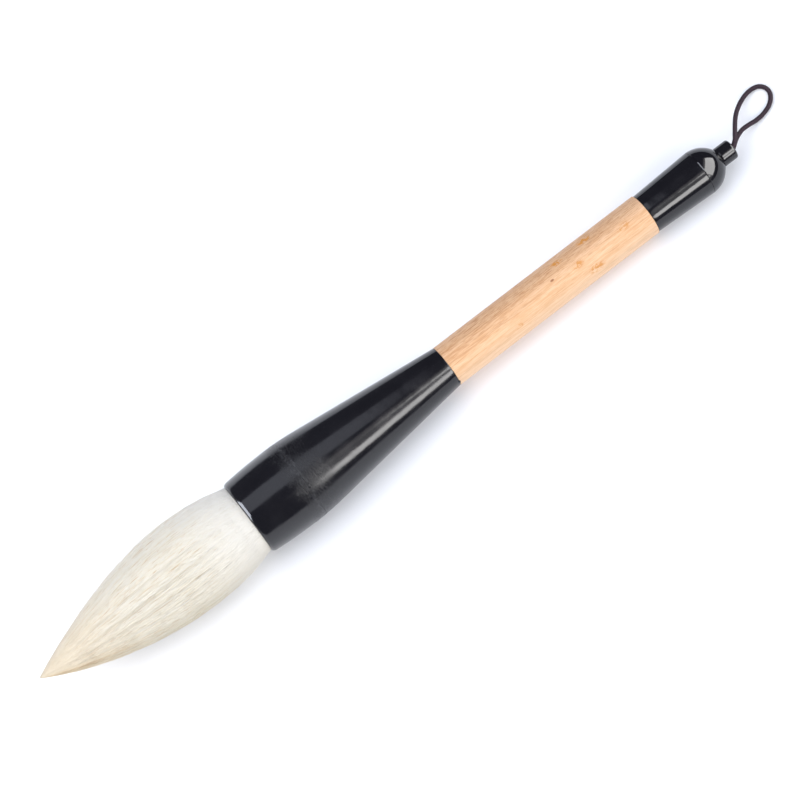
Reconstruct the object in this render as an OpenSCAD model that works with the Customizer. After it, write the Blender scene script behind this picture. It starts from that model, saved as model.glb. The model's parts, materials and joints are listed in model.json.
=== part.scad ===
// Large calligraphy brush with a goat-hair tuft, lying at rest on a flat surface.
// The brush's length runs along X, its tip toward -X. Z is up, and z = 0 is the surface.
// Every turned part is drawn as an outline of [radius, station]. A station is the distance along
// the brush's axis from the ferrule's mouth, positive toward the tail and negative toward the tip.

/* [Hair tuft] */
// Free length of the hair, from the ferrule's mouth to the tip
tuft_length = 100.7; // [80:0.1:120]
// Diameter of the tuft at its belly
tuft_belly_d = 37.7; // [32:0.1:38]
// Distance from the mouth to the belly's widest point
tuft_belly_at = 28; // [20:0.5:36]
// Thickness of the outer layer of cover hair
cover_hair_t = 1.6; // [0.8:0.1:3]
// Diameter of the core of long hairs where it leaves the mouth
core_root_d = 19; // [12:0.5:22]
// Distance from the mouth at which the belly hairs would reach the cover hair
belly_hair_length = 52; // [40:1:70]
// Length of hair held inside the ferrule
root_depth = 15; // [13:0.5:18]
// Diameter of the thread that binds the root
thread_d = 0.9; // [0.5:0.05:1.2]
// Number of turns of the thread
thread_turns = 5; // [3:1:6]

/* [Ferrule] */
// Length of the whole ferrule
ferrule_length = 97.8; // [80:0.1:120]
// Length of the front cup, up to its seam with the body
cup_length = 25.5; // [23:0.1:32]
// Widest diameter of the cup
cup_d = 34.2; // [32:0.1:38]
// Distance from the mouth to the cup's widest point
cup_widest_at = 20; // [16:0.5:22]
// Radius of the cup's lengthwise crown
cup_crown_r = 213; // [160:1:400]
// Rounding of the lip at the mouth
lip_round = 1.5; // [1:0.1:2]
// Diameter of the bore at the lip
mouth_bore_d = 29.2; // [28.2:0.1:29.6]
// Diameter of the cup's bore
cup_bore_d = 27.6; // [25:0.1:28]
// Length over which the bore opens out toward the lip
mouth_flare = 3; // [1:0.5:5]
// Length of the body's spigot in the cup
spigot_length = 6; // [3:0.5:7]
// Length of the straight neck at the ferrule's rear
neck_length = 1; // [0.5:0.5:10]
// Step of the ferrule's neck above the handle
neck_step = 0.03; // [0:0.01:0.5]

/* [Handle] */
// Visible length of the bamboo
handle_length = 98.9; // [70:0.1:140]
// Diameter of the bamboo
handle_d = 17.84; // [15:0.02:19]
// Diameter of the hole through the bamboo
bamboo_bore_d = 8.1; // [5:0.1:10]
// Depth that each dowel goes into the bamboo
dowel_in_bamboo = 24; // [10:1:30]
// Depth that the front dowel goes into the ferrule
dowel_in_ferrule = 25; // [10:1:40]
// Depth that the rear dowel goes into the tail sleeve
dowel_in_sleeve = 14; // [6:0.5:15]

/* [Tail] */
// Length of the flared tail sleeve
sleeve_length = 27.2; // [24:0.1:40]
// Diameter of the sleeve at the bamboo
sleeve_front_d = 17.1; // [14:0.1:18]
// Diameter of the sleeve at its seam with the dome
sleeve_rear_d = 19.4; // [18:0.1:22]
// Length of the dome
dome_length = 9.8; // [8:0.1:14]
// Diameter of the knob
knob_d = 8.5; // [7.6:0.1:10]
// Length of the knob
knob_length = 6.6; // [5:0.1:12]
// Rounding of the knob's end
knob_round = 0.9; // [0.3:0.1:1.2]
// Diameter of the bore that the cord passes through
knob_bore_d = 3.9; // [3.7:0.1:4.2]
// Diameter of the knob's stem inside the dome
stem_d = 6; // [5.6:0.1:6.4]
// Diameter of the hollow in the sleeve's rear, which takes the dome's spigot
tail_hollow_d = 13; // [12:0.1:14]
// Wall of the dome's spigot
tail_spigot_wall = 1.3; // [0.8:0.1:1.5]

/* [Hanging loop] */
// Diameter of the braided cord
cord_d = 1.75; // [1.5:0.05:1.8]
// Diameter of the knot inside the tail
knot_d = 6.8; // [5:0.1:7.6]

/* [Hidden] */

lathe_fn = 96;
small_fn = 48;
cord_sides = 8;

fit_gap = 0.05;    // between glued pieces
layer_gap = 0.1;   // between layers of hair
bend_gap = 0.4;    // between the tuft and what holds it
edge_round = 0.3;  // on the turned parts' edges
seam_depth = 0.15; // of the bevel on each side of a seam

// Stations of the seams
ferrule_end = ferrule_length;
handle_end = ferrule_end + handle_length;
sleeve_end = handle_end + sleeve_length;
dome_end = sleeve_end + dome_length;
knob_end = dome_end + knob_length;

// Radii
handle_r = handle_d / 2;
neck_r = handle_r + neck_step;
cup_bore_r = cup_bore_d / 2;
mouth_bore_r = mouth_bore_d / 2;
spigot_r = cup_bore_r - fit_gap;
dowel_bore_r = bamboo_bore_d / 2;
dowel_r = dowel_bore_r - fit_gap;
sleeve_front_r = sleeve_front_d / 2;
sleeve_rear_r = sleeve_rear_d / 2;
knob_r = knob_d / 2;
tail_hollow_r = tail_hollow_d / 2;
tail_spigot_r = tail_hollow_r - fit_gap;
cord_r = cord_d / 2;

// Radius of the cup's outside at a station
function cup_r_at(s) = cup_d / 2 - pow(s - cup_widest_at, 2) / (2 * cup_crown_r);
seam_r = cup_r_at(cup_length);

// The brush lies on its cup's rear edge and on the tail's widest point
lay_tilt = atan((seam_r - sleeve_rear_r) / (sleeve_end - cup_length));
lay_z = cup_length * sin(lay_tilt) + seam_r * cos(lay_tilt);
tail_x = (knob_end - knob_round) * cos(lay_tilt) + (knob_r - knob_round) * sin(lay_tilt) + knob_round;
tip_x = -tuft_length * cos(lay_tilt);
lay_x = -(tail_x + tip_x) / 2;

// Outline of the tuft: one curve from the mouth to the belly, and one from there to the tip
tuft_belly_r = tuft_belly_d / 2;
tuft_root_r = mouth_bore_r - 0.2;
tip_r = 0.2;
root_curve = [
    [tuft_root_r, -bend_gap],
    [tuft_root_r + 0.6 * (tuft_belly_r - tuft_root_r), -0.18 * tuft_belly_at],
    [tuft_belly_r, -0.57 * tuft_belly_at],
    [tuft_belly_r, -tuft_belly_at]
];
tip_span = tuft_length - tuft_belly_at;
tip_curve = [
    [tuft_belly_r, -tuft_belly_at],
    [tuft_belly_r, -tuft_belly_at - 0.36 * tip_span],
    [0.5 * tuft_belly_r, -tuft_belly_at - 0.77 * tip_span],
    [tip_r, -tuft_length]
];
function bezier(c, t) = pow(1 - t, 3) * c[0] + 3 * pow(1 - t, 2) * t * c[1]
    + 3 * (1 - t) * t * t * c[2] + pow(t, 3) * c[3];
root_steps = 6;
tip_steps = 14;
tuft_outline = concat(
    [for (i = [0 : root_steps]) bezier(root_curve, i / root_steps)],
    [for (i = [1 : tip_steps]) bezier(tip_curve, i / tip_steps)]
);

// The tuft's outline, moved inward, and closed on the axis
function tuft_shape(inset) =
    let (side = [for (p = tuft_outline) if (p[0] > inset) [p[0] - inset, p[1]]])
    concat([[0, side[0][1]]], side, [[0, side[len(side) - 1][1]]]);

// The space inside the line where the core's hairs end and the belly hairs begin
function core_space(inset) = [
    [0, 1], [core_root_d / 2 - inset, 1], [core_root_d / 2 - inset, 0],
    [tuft_belly_r - inset, -belly_hair_length], [tuft_belly_r - inset, -tuft_length - 1],
    [0, -tuft_length - 1]
];

// Points of an arc about c in an outline
function arc(c, r, from, to, steps = 6) =
    [for (i = [0 : steps]) let (a = from + (to - from) * i / steps) c + r * [cos(a), sin(a)]];

// Dome: an arc that leaves the sleeve square to its end and meets the knob's foot
knob_foot_r = knob_r - seam_depth;
dome_drop = sleeve_rear_r - knob_foot_r;
dome_arc_r = (dome_length * dome_length + dome_drop * dome_drop) / (2 * dome_drop);
dome_arc_end = asin(dome_length / dome_arc_r);
tail_spigot_length = 4;
dome_wall = 4.9; // at the pole, around the knob's stem
knob_stem_length = 3.9;
countersink_depth = 2;
countersink_r = 3;

// Hair root: filled mouth, collar, waist for the thread and rear button
root_r = cup_bore_r - 0.6;
waist_r = root_r - thread_d;
waist_length = thread_turns * (thread_d + 0.02) + 0.4;
waist_end = root_depth - 1.2;
waist_start = waist_end - waist_length;
resin_start = 5;
resin_end = cup_length - spigot_length - fit_gap;

// Cord: its two legs lie one above the other in the knob's bore
leg_offset = cord_r + 0.02;
knot_at = sleeve_end + 2;
legs_end = knob_end - cord_r - bend_gap;  // leaves the loop's ends room to swing about the mouth

// Centre line of the loop, from the upper leg round to the lower leg: along the brush from the
// knob's mouth, across, and up from the surface
loop_points = [
    [0.3, 0, 10], [2.3, 1.2, 10], [4.8, 4.2, 9.4], [7.4, 7.6, 8.2], [10, 10.6, 6.7],
    [12.9, 13.2, 5.1], [16.2, 15.4, 3.4], [19.7, 17, 2], [23, 17.6, 1.2], [26, 16.9, 0.95],
    [27.7, 14.8, 0.95], [27.9, 12.2, 0.95], [26.5, 9.6, 0.95], [23.7, 7.5, 0.95],
    [20.1, 6.3, 1.1], [16.2, 5.7, 1.9], [12.2, 5.5, 3.6], [8.6, 4.9, 5.2], [5.4, 3.5, 6.6],
    [2.5, 1.5, 7.9], [0.3, 0, 8.1]
];
mouth_x = lay_x + knob_end * cos(lay_tilt);
loop_route = [for (p = loop_points) p + [mouth_x, 0, 0]];

function unit(v) = v / norm(v);
function route_direction(route, i) =
    unit(route[min(i + 1, len(route) - 1)] - route[max(i - 1, 0)]);

// One ring of a tube, square to its route, with its first corner level with the centre
function tube_ring(centre, direction, r) =
    let (side = unit(cross(direction, [0, 0, 1])), up = cross(side, direction))
    [for (k = [0 : cord_sides - 1]) let (a = 360 * k / cord_sides)
        centre + r * (cos(a) * side + sin(a) * up)];

module tube(route, r) {
    rings = len(route);
    points = [for (i = [0 : rings - 1]) each tube_ring(route[i], route_direction(route, i), r)];
    sides = [for (i = [0 : rings - 2], k = [0 : cord_sides - 1])
        let (a = i * cord_sides + k, b = i * cord_sides + (k + 1) % cord_sides)
        each [[a, b, b + cord_sides], [a, b + cord_sides, a + cord_sides]]];
    first = [for (k = [0 : cord_sides - 1]) cord_sides - 1 - k];
    last = [for (k = [0 : cord_sides - 1]) (rings - 1) * cord_sides + k];
    polyhedron(points, concat([first], sides, [last]), convexity = 6);
}

// Lays what is drawn along Z down on the surface
module lay() translate([lay_x, 0, lay_z]) rotate([0, 90 + lay_tilt, 0]) children();

module lathe(outline) lay() rotate_extrude($fn = lathe_fn) polygon(outline);

module rod(r, from, to) lay() translate([0, 0, from]) cylinder(r = r, h = to - from, $fn = small_fn);

// Long, fine hairs wrapped evenly around the rest
module outer_hair() color("#f3eee2") lay() rotate_extrude($fn = lathe_fn) difference() {
    polygon(tuft_shape(0));
    polygon(tuft_shape(cover_hair_t));
}

// Shorter hairs that fill out the belly
module belly_hair() color("#e9e0cc") lay() rotate_extrude($fn = lathe_fn) difference() {
    polygon(tuft_shape(cover_hair_t + layer_gap));
    polygon(core_space(0));
}

// Long hairs that carry the ink and make the point
module core_hair() color("#efe6d2") lay() rotate_extrude($fn = lathe_fn) intersection() {
    polygon(tuft_shape(cover_hair_t + layer_gap));
    polygon(core_space(layer_gap));
}

// Ends of all the hairs, inside the cup
module hair_root() color("#e3d6b8") lathe([
    [0, 0], [mouth_bore_r - 0.3, 0], [root_r, mouth_flare], [root_r, waist_start],
    [waist_r, waist_start], [waist_r, waist_end], [root_r, waist_end],
    [root_r, root_depth], [0, root_depth]
]);

// Turns of thread in the root's waist
module root_thread() color("#c9bfa5") lay() for (i = [0 : thread_turns - 1])
    translate([0, 0, waist_start + 0.2 + (i + 0.5) * (thread_d + 0.02)])
        rotate_extrude($fn = lathe_fn)
            translate([waist_r + thread_d / 2 + 0.02, 0]) circle(d = thread_d, $fn = 24);

// Resin around and behind the root
module root_resin() color("#8a5a22") lathe([
    [root_r + 0.1, resin_start], [cup_bore_r - fit_gap, resin_start],
    [cup_bore_r - fit_gap, resin_end], [0, resin_end],
    [0, root_depth + fit_gap], [root_r + 0.1, root_depth + fit_gap]
]);

// Front ring with a rounded lip and a lengthwise crown
module ferrule_cup() color("#17171a") {
    steps = 8;
    lip_c = [cup_r_at(lip_round) - lip_round, lip_round];
    crown = [for (i = [1 : steps])
        let (s = lip_round + (cup_length - seam_depth - lip_round) * i / steps) [cup_r_at(s), s]];
    lathe(concat(
        arc(lip_c, lip_round, -90, 0), crown,
        [[seam_r - seam_depth, cup_length], [cup_bore_r, cup_length],
         [cup_bore_r, mouth_flare], [mouth_bore_r, 0]]
    ));
}

// Cone with a spigot for the cup and a socket for the front dowel
module ferrule_body() color("#17171a") {
    front = cup_length + fit_gap;
    socket = ferrule_end - dowel_in_ferrule - fit_gap;
    lathe([
        [0, cup_length - spigot_length], [spigot_r, cup_length - spigot_length],
        [spigot_r, front], [seam_r - seam_depth, front], [seam_r - fit_gap, front + seam_depth],
        [neck_r, ferrule_end - neck_length], [neck_r, ferrule_end - edge_round],
        [neck_r - edge_round, ferrule_end], [dowel_bore_r, ferrule_end],
        [dowel_bore_r, socket], [0, socket]
    ]);
}

module front_dowel() color("#cfa877")
    rod(dowel_r, ferrule_end - dowel_in_ferrule, ferrule_end + dowel_in_bamboo);

// Bamboo tube
module bamboo_handle() color("#e9c08f") lathe([
    [dowel_bore_r, ferrule_end + fit_gap], [handle_r, ferrule_end + fit_gap],
    [handle_r, handle_end - fit_gap], [dowel_bore_r, handle_end - fit_gap]
]);

module rear_dowel() color("#cfa877")
    rod(dowel_r, handle_end - dowel_in_bamboo, handle_end + dowel_in_sleeve - fit_gap);

// Flared sleeve with a socket for the rear dowel and a hollow for the dome's spigot
module tail_sleeve() color("#17171a") {
    socket_end = handle_end + dowel_in_sleeve;
    hollow = sleeve_end - tail_spigot_length - 4 * fit_gap;
    lathe([
        [dowel_bore_r, handle_end], [sleeve_front_r - edge_round, handle_end],
        [sleeve_front_r, handle_end + edge_round], [sleeve_rear_r, sleeve_end - seam_depth],
        [sleeve_rear_r - seam_depth, sleeve_end], [tail_hollow_r, sleeve_end],
        [tail_hollow_r, hollow], [0, hollow], [0, socket_end], [dowel_bore_r, socket_end]
    ]);
}

// Dome over the tail's hollow
module tail_dome() color("#17171a") {
    front = sleeve_end + fit_gap;
    hollow_r = tail_spigot_r - tail_spigot_wall;
    hollow_end = dome_end - dome_wall;
    lathe(concat(
        [[hollow_r, sleeve_end - tail_spigot_length], [tail_spigot_r, sleeve_end - tail_spigot_length],
         [tail_spigot_r, front], [sleeve_rear_r - seam_depth, front]],
        arc([sleeve_rear_r - dome_arc_r, sleeve_end], dome_arc_r, 2, dome_arc_end, 10),
        [[stem_d / 2 + fit_gap, dome_end], [stem_d / 2 + fit_gap, hollow_end], [hollow_r, hollow_end]]
    ));
}

// Knob with a stem in the dome and a countersunk bore for the cord
module hanger_knob() color("#17171a") {
    front = dome_end + fit_gap;
    lathe(concat(
        [[knob_bore_d / 2, dome_end - knob_stem_length], [stem_d / 2, dome_end - knob_stem_length],
         [stem_d / 2, front], [knob_foot_r, front], [knob_r, front + 2 * seam_depth]],
        arc([knob_r - knob_round, knob_end - knob_round], knob_round, 0, 90),
        [[countersink_r, knob_end], [knob_bore_d / 2, knob_end - countersink_depth]]
    ));
}

// Knot of the cord, with the two legs that lead out through the knob's bore
module loop_knot() color("#4c3838") lay() {
    translate([0, 0, knot_at]) sphere(d = knot_d, $fn = small_fn);
    for (side = [-1, 1])
        translate([side * leg_offset, 0, knot_at]) cylinder(r = cord_r, h = legs_end - knot_at, $fn = small_fn);
}

module hanging_loop() color("#4c3838") tube(loop_route, cord_r);

outer_hair();
belly_hair();
core_hair();
hair_root();
root_thread();
root_resin();
ferrule_cup();
ferrule_body();
front_dowel();
bamboo_handle();
rear_dowel();
tail_sleeve();
tail_dome();
hanger_knob();
loop_knot();
hanging_loop();
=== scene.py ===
"""Looks of a large calligraphy brush that lies on a white table.

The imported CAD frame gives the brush's axis, its joints and its size. Each sub-assembly is a class that
builds its own meshes and dresses them: the goat-hair tuft, the black ferrule, the bamboo handle, the black
tail and the braided hanging loop. Stations are distances along the brush's axis from the ferrule's mouth,
in metres, positive toward the tail and negative toward the tip.
"""

import json
import logging
import math
from dataclasses import dataclass, field
from enum import Enum
from typing import Any, Sequence

import bmesh
import bpy
import numpy as np
from mathutils import Matrix, Vector


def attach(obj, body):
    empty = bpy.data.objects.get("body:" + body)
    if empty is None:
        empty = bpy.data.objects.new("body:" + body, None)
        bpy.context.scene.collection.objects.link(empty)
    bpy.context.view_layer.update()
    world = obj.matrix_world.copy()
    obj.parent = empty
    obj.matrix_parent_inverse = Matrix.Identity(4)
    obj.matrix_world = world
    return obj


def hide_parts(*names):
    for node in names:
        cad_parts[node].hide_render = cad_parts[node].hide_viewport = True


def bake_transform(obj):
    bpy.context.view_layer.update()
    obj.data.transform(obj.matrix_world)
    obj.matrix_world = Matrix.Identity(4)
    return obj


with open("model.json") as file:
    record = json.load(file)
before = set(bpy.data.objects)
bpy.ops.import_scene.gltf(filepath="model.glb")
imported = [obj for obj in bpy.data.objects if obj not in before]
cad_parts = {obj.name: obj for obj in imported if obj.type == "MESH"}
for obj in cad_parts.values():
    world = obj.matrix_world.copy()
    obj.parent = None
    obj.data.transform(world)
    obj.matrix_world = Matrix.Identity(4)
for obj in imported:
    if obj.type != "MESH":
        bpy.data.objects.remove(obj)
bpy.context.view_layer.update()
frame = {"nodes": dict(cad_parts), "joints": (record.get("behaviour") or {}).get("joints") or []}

log = logging.getLogger("brush")

MM = 0.001
Outline = list[tuple[float, float]]
Triple = tuple[float, float, float]
Colour = tuple[float, float, float, float]
Stops = tuple[tuple[float, Colour], ...]
Socket = bpy.types.NodeSocket


class Body(str, Enum):
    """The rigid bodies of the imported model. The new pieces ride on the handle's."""

    HANDLE = "handle_assembly"
    TUFT = "tuft"
    KNOT = "cord_knot"
    LOOP = "cord_loop"


class Slot(str, Enum):
    """The record's material slots."""

    HAIR = "hair"
    FERRULE = "black_ferrule"
    TAIL = "black_tail"
    BAMBOO = "bamboo"
    CORD = "cord"


class Seen(Enum):
    """How a light takes part in the picture."""

    ALWAYS = "always"
    AS_LIGHT = "as_light"
    IN_REFLECTIONS = "in_reflections"


# ---------------------------------------------------------------------------------------------------------
# Places


@dataclass(frozen=True)
class BrushAxis:
    """The line that every turned piece is centred on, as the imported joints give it."""

    mouth: Vector
    knob_mouth: Vector
    direction: Vector

    @classmethod
    def from_joints(cls, joints: Sequence[dict[str, Any]]) -> "BrushAxis":
        """Reads the axis from the tuft's hinge and the cord's turning joint.

        Args:
            joints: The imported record's joints.

        Returns:
            The brush's axis.
        """
        by_name = {joint["name"]: joint for joint in joints}
        turn = by_name["loop_turn"]
        return cls(
            mouth=Vector(by_name["tuft_bend"]["pos_m"]),
            knob_mouth=Vector(turn["pos_m"]),
            direction=Vector(turn["axis"]).normalized(),
        )

    @property
    def matrix(self) -> Matrix:
        """Carries the brush's own coordinates to the frame.

        Returns:
            The matrix for places with X down, Y across and Z toward the tail.
        """
        across = Vector((0.0, 1.0, 0.0))
        down = across.cross(self.direction)
        turn = Matrix((down, across, self.direction)).transposed()
        return Matrix.Translation(self.mouth) @ turn.to_4x4()

    @property
    def knob_end(self) -> float:
        """Station of the knob's mouth."""
        return (self.knob_mouth - self.mouth).dot(self.direction)

    def at(self, station: float) -> Vector:
        """Returns the point on the axis at a station."""
        return self.mouth + station * self.direction


# ---------------------------------------------------------------------------------------------------------
# Mesh work


def arc(centre: tuple[float, float], radius: float, start: float, end: float, steps: int = 8) -> Outline:
    """Returns the points of an arc in an outline.

    Args:
        centre: Radius and station of the arc's centre.
        radius: Radius of the arc.
        start: First angle in degrees, from the outward direction toward the tail.
        end: Last angle in degrees.
        steps: Number of chords.

    Returns:
        Points as (radius, station).
    """
    angles = [math.radians(start + (end - start) * i / steps) for i in range(steps + 1)]
    return [(centre[0] + radius * math.cos(a), centre[1] + radius * math.sin(a)) for a in angles]


def shade(mesh: bpy.types.Mesh, sharp_degrees: float = 35.0) -> None:
    """Shades a mesh smooth, apart from the edges that are sharper than an angle."""
    mesh.shade_smooth()
    mesh.set_sharp_from_angle(angle=math.radians(sharp_degrees))


def add_object(name: str, mesh: bpy.types.Mesh) -> bpy.types.Object:
    """Puts a mesh in the scene as an object at the origin.

    Args:
        name: Name of the new object.
        mesh: The mesh, with its place already in it.

    Returns:
        The object.
    """
    obj = bpy.data.objects.new(name, mesh)
    bpy.context.scene.collection.objects.link(obj)
    return obj


def turned(name: str, outline: Outline, axis: BrushAxis, segments: int = 128,
           closed: bool = True) -> bpy.types.Object:
    """Turns an outline about the brush's axis, as on a lathe.

    Args:
        name: Name of the new object.
        outline: Points as (radius, station), going once round the section.
        axis: The brush's axis.
        segments: Number of steps around.
        closed: True for a ring's section, False for one that starts and ends on the axis.

    Returns:
        The object, with smooth faces that point outward.
    """
    bm = bmesh.new()
    verts = [bm.verts.new((r, 0.0, s)) for r, s in outline]
    followers = verts[1:] + verts[:1] if closed else verts[1:]
    edges = [bm.edges.new(pair) for pair in zip(verts, followers)]
    bmesh.ops.spin(bm, geom=verts + edges, cent=(0, 0, 0), axis=(0, 0, 1), angle=math.tau,
                   steps=segments, use_merge=True, use_duplicate=False)
    bmesh.ops.remove_doubles(bm, verts=bm.verts, dist=1e-7)
    bmesh.ops.dissolve_degenerate(bm, edges=bm.edges, dist=1e-8)
    bmesh.ops.recalc_face_normals(bm, faces=bm.faces)
    bmesh.ops.transform(bm, matrix=axis.matrix, verts=bm.verts)
    mesh = bpy.data.meshes.new(name)
    bm.to_mesh(mesh)
    bm.free()
    shade(mesh)
    return add_object(name, mesh)


def smooth_path(points: Sequence[Vector], steps: int) -> list[Vector]:
    """Runs a centripetal Catmull-Rom curve through points.

    Args:
        points: The route's points.
        steps: Number of steps between two points.

    Returns:
        Points along the curve, from the first of the route to the last.
    """
    padded = [2 * points[0] - points[1], *points, 2 * points[-1] - points[-2]]
    path: list[Vector] = []
    for p0, p1, p2, p3 in zip(padded, padded[1:], padded[2:], padded[3:]):
        t1 = math.sqrt((p1 - p0).length)
        t2 = t1 + math.sqrt((p2 - p1).length)
        t3 = t2 + math.sqrt((p3 - p2).length)
        for i in range(steps):
            t = t1 + (t2 - t1) * i / steps
            a1 = p0.lerp(p1, t / t1)
            a2 = p1.lerp(p2, (t - t1) / (t2 - t1))
            a3 = p2.lerp(p3, (t - t2) / (t3 - t2))
            b1 = a1.lerp(a2, t / t2)
            b2 = a2.lerp(a3, (t - t1) / (t3 - t1))
            path.append(b1.lerp(b2, (t - t1) / (t2 - t1)))
    path.append(points[-1].copy())
    return path


# ---------------------------------------------------------------------------------------------------------
# Finishes


class Shader:
    """A material with one Principled shader, and short calls for the nodes that the finishes share."""

    def __init__(self, name: str, **constants: Any) -> None:
        """Makes the material.

        Args:
            name: The material's name.
            **constants: Values for the shader's own sockets, with _ for a space in a socket's name.
        """
        self.material = bpy.data.materials.new(name)
        self.material.use_nodes = True
        self.tree = self.material.node_tree
        self.principled = self.tree.nodes["Principled BSDF"]
        for key, value in constants.items():
            self.principled.inputs[key.replace("_", " ")].default_value = value

    def node(self, kind: str, inputs: dict[Any, Any] | None = None, **settings: Any) -> bpy.types.Node:
        """Adds a node.

        Args:
            kind: The node's type, without the ShaderNode prefix.
            inputs: Input names or numbers, and the socket or value that each takes.
            **settings: The node's own settings.

        Returns:
            The node.
        """
        made = self.tree.nodes.new("ShaderNode" + kind)
        for key, value in settings.items():
            setattr(made, key, value)
        for key, value in (inputs or {}).items():
            self.feed(made.inputs[key], value)
        return made

    def feed(self, socket: Socket, value: Any) -> None:
        """Links a socket to another, or sets its value.

        Args:
            socket: The input socket.
            value: An output socket, or a plain value.
        """
        if isinstance(value, bpy.types.NodeSocket):
            self.tree.links.new(value, socket)
        else:
            socket.default_value = value

    def brush_coordinates(self, axis: BrushAxis, stretch: Triple = (1.0, 1.0, 1.0)) -> Socket:
        """Gives places in the brush's own coordinates.

        Args:
            axis: The brush's axis.
            stretch: Factors for X, Y and Z, where Z runs along the brush.

        Returns:
            The vector socket.
        """
        own = self.node("Mapping", {"Vector": self.node("TexCoord").outputs["Object"],
                                    "Location": axis.mouth, "Rotation": axis.matrix.to_euler()},
                        vector_type="TEXTURE")
        return self.node("Mapping", {"Vector": own.outputs[0], "Scale": stretch}).outputs[0]

    def attribute(self, name: str) -> Socket:
        """Gives the value of one of the mesh's own attributes."""
        return self.node("Attribute", attribute_name=name).outputs["Fac"]

    def noise(self, vector: Socket, scale: float, detail: float = 2.0, roughness: float = 0.5,
              distortion: float = 0.0) -> Socket:
        """Gives a noise.

        Args:
            vector: Places to read it at.
            scale: Its cycles in a metre.
            detail: Number of finer layers.
            roughness: How strong the finer layers are.
            distortion: How far it is pulled out of shape.

        Returns:
            The socket of a value from 0 to 1.
        """
        return self.node("TexNoise", {"Vector": vector, "Scale": scale, "Detail": detail,
                                      "Roughness": roughness, "Distortion": distortion}).outputs["Fac"]

    def ramp(self, factor: Socket, stops: Stops) -> Socket:
        """Gives a colour from a row of stops.

        Args:
            factor: Where on the row to read.
            stops: Positions and their colours, in order.

        Returns:
            The colour socket.
        """
        made = self.node("ValToRGB", {"Fac": factor})
        elements = made.color_ramp.elements
        while len(elements) < len(stops):
            elements.new(0.5)
        for element, (position, colour) in zip(elements, stops):
            element.position = position
            element.color = colour
        return made.outputs["Color"]

    def span(self, value: Socket, low: float, high: float, to_low: float = 0.0, to_high: float = 1.0,
             smooth: bool = True) -> Socket:
        """Maps a range of values to another, and holds it at the ends.

        Args:
            value: The value.
            low: Where the range starts.
            high: Where the range ends.
            to_low: The result at its start.
            to_high: The result at its end.
            smooth: True to ease in and out, False for a straight line.

        Returns:
            The result's socket.
        """
        return self.node("MapRange", {"Value": value, "From Min": low, "From Max": high,
                                      "To Min": to_low, "To Max": to_high},
                         interpolation_type="SMOOTHSTEP" if smooth else "LINEAR").outputs["Result"]

    def mix(self, factor: Any, first: Any, second: Any, blend: str = "MIX") -> Socket:
        """Mixes two colours.

        Args:
            factor: Share of the second colour.
            first: The first colour.
            second: The second colour.
            blend: The node's way of mixing.

        Returns:
            The colour socket.
        """
        made = self.node("Mix", data_type="RGBA", blend_type=blend)
        self.feed(made.inputs["Factor"], factor)
        self.feed(made.inputs["A"], first)
        self.feed(made.inputs["B"], second)
        return made.outputs["Result"]

    def plus(self, first: Any, second: Any) -> Socket:
        """Adds two values."""
        return self.node("Math", {0: first, 1: second}, operation="ADD").outputs[0]

    def times(self, first: Any, second: Any) -> Socket:
        """Multiplies two values."""
        return self.node("Math", {0: first, 1: second}, operation="MULTIPLY").outputs[0]

    def apart(self, value: Socket, mark: float) -> Socket:
        """Gives how far a value is from a mark."""
        offset = self.node("Math", {0: value, 1: mark}, operation="SUBTRACT").outputs[0]
        return self.node("Math", {0: offset, 1: 0.0}, operation="ABSOLUTE").outputs[0]

    def separate(self, vector: Socket) -> Sequence[Socket]:
        """Gives a vector's three parts."""
        return self.node("SeparateXYZ", {0: vector}).outputs

    def bump(self, height: Socket, distance: float) -> None:
        """Adds a bump of that height in metres to the shader."""
        made = self.node("Bump", {"Height": height, "Distance": distance, "Strength": 1.0})
        self.feed(self.principled.inputs["Normal"], made.outputs[0])

    def let_light_through(self, share: float, colour: Socket) -> None:
        """Lets light pass through the material, as thin fibres do.

        Args:
            share: Share of the light that passes.
            colour: Colour of that light.
        """
        through = self.node("BsdfTranslucent", {"Color": colour})
        mixed = self.node("MixShader", {0: share, 1: self.principled.outputs[0], 2: through.outputs[0]})
        self.feed(self.tree.nodes["Material Output"].inputs["Surface"], mixed.outputs[0])

    def dress(self, *objects: bpy.types.Object) -> None:
        """Gives the material to objects, in place of what they have.

        Args:
            *objects: The objects.
        """
        for obj in objects:
            obj.data.materials.clear()
            obj.data.materials.append(self.material)


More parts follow.
